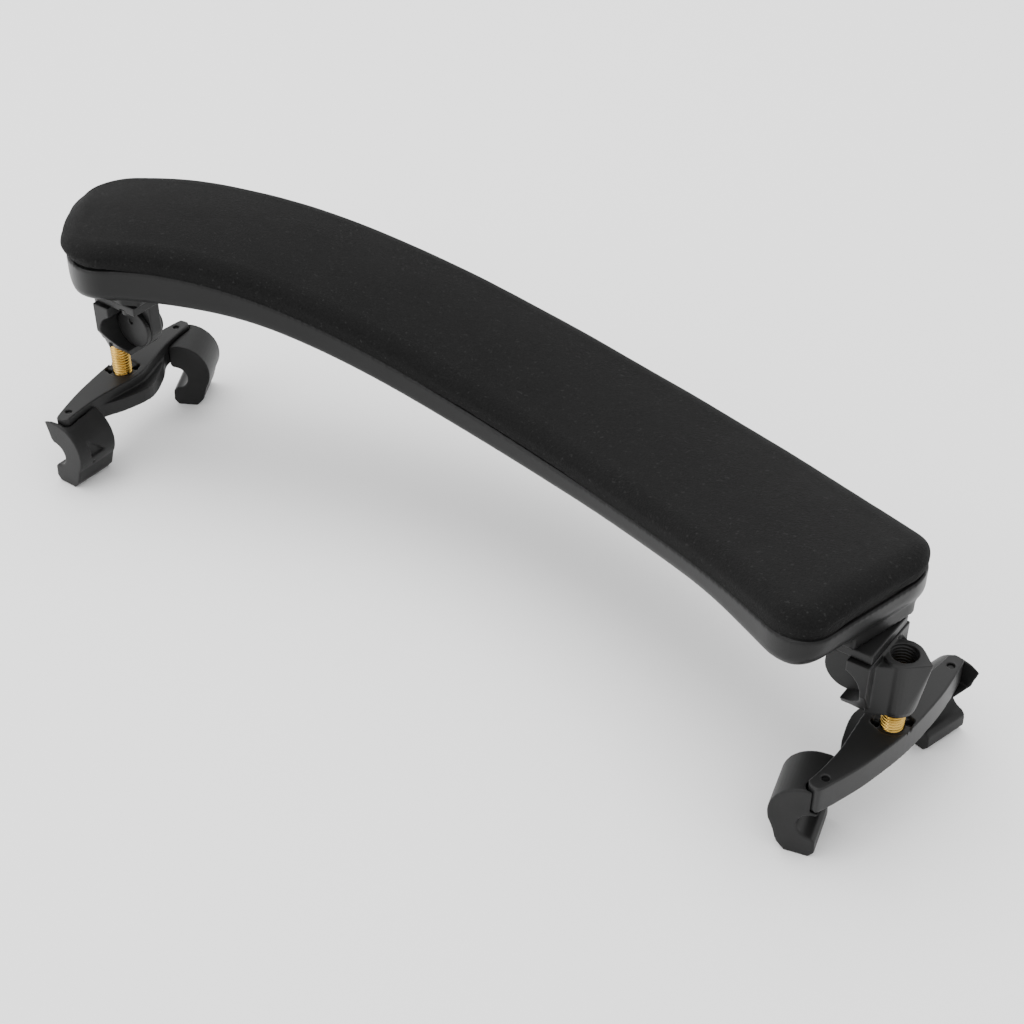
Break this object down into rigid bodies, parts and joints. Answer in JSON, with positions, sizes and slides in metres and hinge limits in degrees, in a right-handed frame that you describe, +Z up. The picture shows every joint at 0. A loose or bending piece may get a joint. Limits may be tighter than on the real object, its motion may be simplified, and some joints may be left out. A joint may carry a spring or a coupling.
{
  "type": "violin shoulder rest",
  "caption": "Curved, padded violin shoulder rest on two folding feet; each foot is a fork with rubber claws on a brass height screw.",
  "frame": {"origin": "under the middle of the object's box, on the plane the claws stand on", "axes": "+X along the bar towards the low end, +Y towards the bowed-out side, +Z up"},
  "size_m": [0.2494, 0.0812, 0.0649],
  "materials": {
    "plastic": "satin black moulded plastic",
    "foam": "charcoal napped foam",
    "rubber": "satin black rubber",
    "brass": "turned brass, threaded",
    "steel": "blackened steel"
  },
  "bodies": {
    "bar": {"tray": "plastic", "foam_pad": "foam", "left_hinge_bracket": "plastic", "left_bracket_screw_near": "steel", "left_bracket_screw_far": "steel", "left_hinge_washer": "steel", "right_hinge_bracket": "plastic", "right_bracket_screw_near": "steel", "right_bracket_screw_far": "steel", "right_hinge_washer": "steel"},
    "left_swivel": {"left_swivel_block": "plastic", "left_hinge_pin": "plastic"},
    "left_lift": {"left_height_screw": "brass"},
    "left_foot": {"left_fork": "plastic", "left_near_claw": "rubber", "left_far_claw": "rubber", "left_near_claw_pin": "steel", "left_far_claw_pin": "steel"},
    "right_swivel": {"right_swivel_block": "plastic", "right_hinge_pin": "plastic"},
    "right_lift": {"right_height_screw": "brass"},
    "right_foot": {"right_fork": "plastic", "right_near_claw": "rubber", "right_far_claw": "rubber", "right_near_claw_pin": "steel", "right_far_claw_pin": "steel"}
  },
  "joints": [
    {"name": "left_fold", "type": "hinge", "parent": "bar", "child": "left_swivel", "pos_m": [-0.09617, -0.01193, 0.0371], "axis": [0, -1, 0], "range_deg": [0, 90]},
    {"name": "left_height", "type": "slide", "parent": "left_swivel", "child": "left_lift", "axis": [0, 0, 1], "range_m": [-0.0008, 0.0048]},
    {"name": "left_turn", "type": "hinge", "parent": "left_lift", "child": "left_foot", "pos_m": [-0.10637, -0.01193, 0.019], "axis": [0, 0, 1], "range_deg": [-361, 2161]},
    {"name": "right_fold", "type": "hinge", "parent": "bar", "child": "right_swivel", "pos_m": [0.10653, -0.01193, 0.031], "axis": [0, 1, 0], "range_deg": [0, 90]},
    {"name": "right_height", "type": "slide", "parent": "right_swivel", "child": "right_lift", "axis": [0, 0, 1], "range_m": [-0.0048, 0.0032]},
    {"name": "right_turn", "type": "hinge", "parent": "right_lift", "child": "right_foot", "pos_m": [0.11673, -0.01193, 0.019], "axis": [0, 0, 1], "range_deg": [-2161, 1441]}
  ],
  "couplings": [
    {"joint": "left_turn", "follows": "left_height", "rad_per_m": 7854},
    {"joint": "right_turn", "follows": "right_height", "rad_per_m": 7854}
  ]
}
